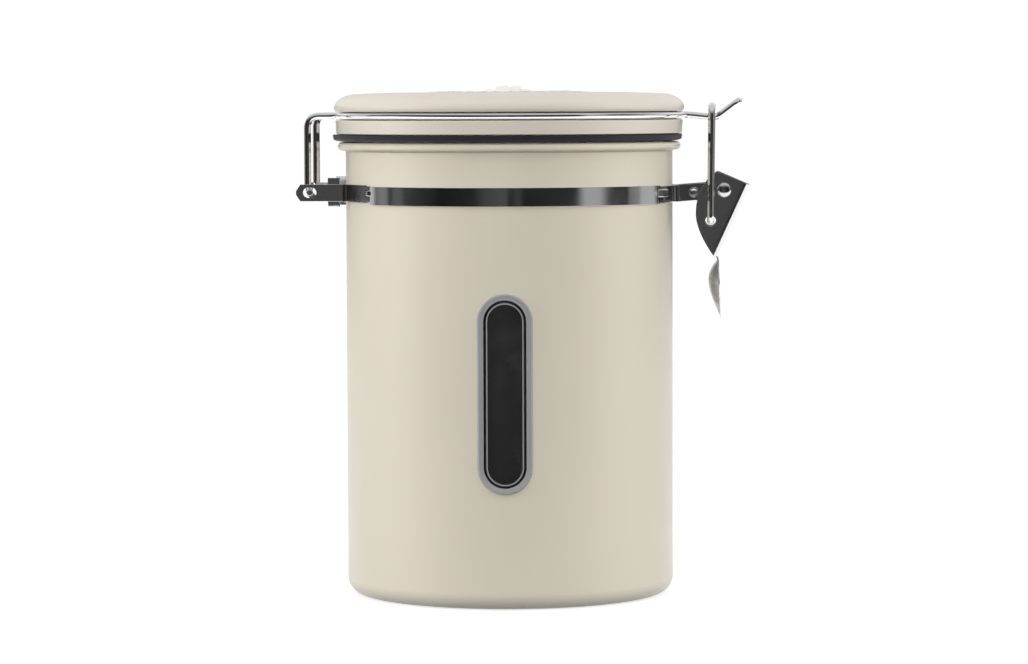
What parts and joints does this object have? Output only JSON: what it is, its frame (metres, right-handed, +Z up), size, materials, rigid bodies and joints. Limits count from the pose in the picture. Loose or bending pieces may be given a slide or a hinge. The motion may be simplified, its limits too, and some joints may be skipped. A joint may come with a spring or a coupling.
{
  "type": "storage canister",
  "caption": "Round steel storage canister with a side window and a hinged lid held in a wire ring, clamped by an over-centre lever and link, with a date dial and one-way valve.",
  "frame": {"origin": "centre of the can's flat base", "axes": "+Z up along the can's axis, +X towards the latch, -X towards the hinge, -Y towards the window"},
  "size_m": [0.1676, 0.131, 0.1892],
  "materials": {
    "can_paint": "satin cream powder coat",
    "lid_paint": "satin cream, slightly glossier",
    "polished_steel": "polished stainless steel",
    "bezel_plastic": "grey satin plastic",
    "window_clear": "clear acrylic",
    "black_silicone": "matt silicone",
    "clear_silicone": "translucent silicone",
    "white_plastic": "off-white plastic",
    "filter_felt": "non-woven filter felt"
  },
  "bodies": {
    "can": {"can_body": "can_paint", "window_bezel": "bezel_plastic", "window_lens": "window_clear", "window_seal": "black_silicone", "window_frame": "bezel_plastic", "band_front": "polished_steel", "band_rear": "polished_steel", "hinge_ear_front": "polished_steel", "hinge_ear_rear": "polished_steel", "hinge_bridge": "polished_steel", "latch_arm_front": "polished_steel", "latch_arm_rear": "polished_steel", "arm_rivet": "polished_steel", "lever_rivet": "polished_steel"},
    "ring": {"ring_wire": "polished_steel"},
    "lid": {"lid_shell": "lid_paint", "lid_liner": "white_plastic", "lid_gasket": "black_silicone", "dial_plate": "lid_paint", "valve_body": "white_plastic", "valve_cap": "white_plastic", "valve_washer": "black_silicone", "valve_nut": "white_plastic", "valve_filter": "filter_felt"},
    "day": {"day_pointer": "white_plastic"},
    "month": {"month_pointer": "white_plastic"},
    "flap": {"valve_disc": "clear_silicone"},
    "lever": {"latch_lever": "polished_steel"},
    "link": {"latch_link": "polished_steel"}
  },
  "joints": [
    {"name": "lid_hinge", "type": "hinge", "parent": "can", "child": "ring", "pos_m": [-0.0729, 0, 0.1499], "axis": [0, -1, 0], "range_deg": [0, 200]},
    {"name": "lid_spin", "type": "hinge", "parent": "ring", "child": "lid", "pos_m": [0, 0, 0.18], "axis": [0, 0, 1], "continuous": true},
    {"name": "day_dial", "type": "hinge", "parent": "lid", "child": "day", "pos_m": [0, 0, 0.187], "axis": [0, 0, 1], "continuous": true},
    {"name": "month_dial", "type": "hinge", "parent": "lid", "child": "month", "pos_m": [0, 0, 0.187], "axis": [0, 0, 1], "continuous": true},
    {"name": "valve_lift", "type": "slide", "parent": "lid", "child": "flap", "axis": [0, 0, 1], "range_m": [0, 0.0005]},
    {"name": "lever_pivot", "type": "hinge", "parent": "can", "child": "lever", "pos_m": [0.0801, 0, 0.1504], "axis": [0, -1, 0], "range_deg": [0, 135]},
    {"name": "link_pivot", "type": "hinge", "parent": "lever", "child": "link", "pos_m": [0.0751, 0, 0.1389], "axis": [0, -1, 0], "range_deg": [-95, 0]}
  ],
  "couplings": [
    {"joint": "link_pivot", "follows": "lever_pivot", "ratio": -0.69}
  ]
}
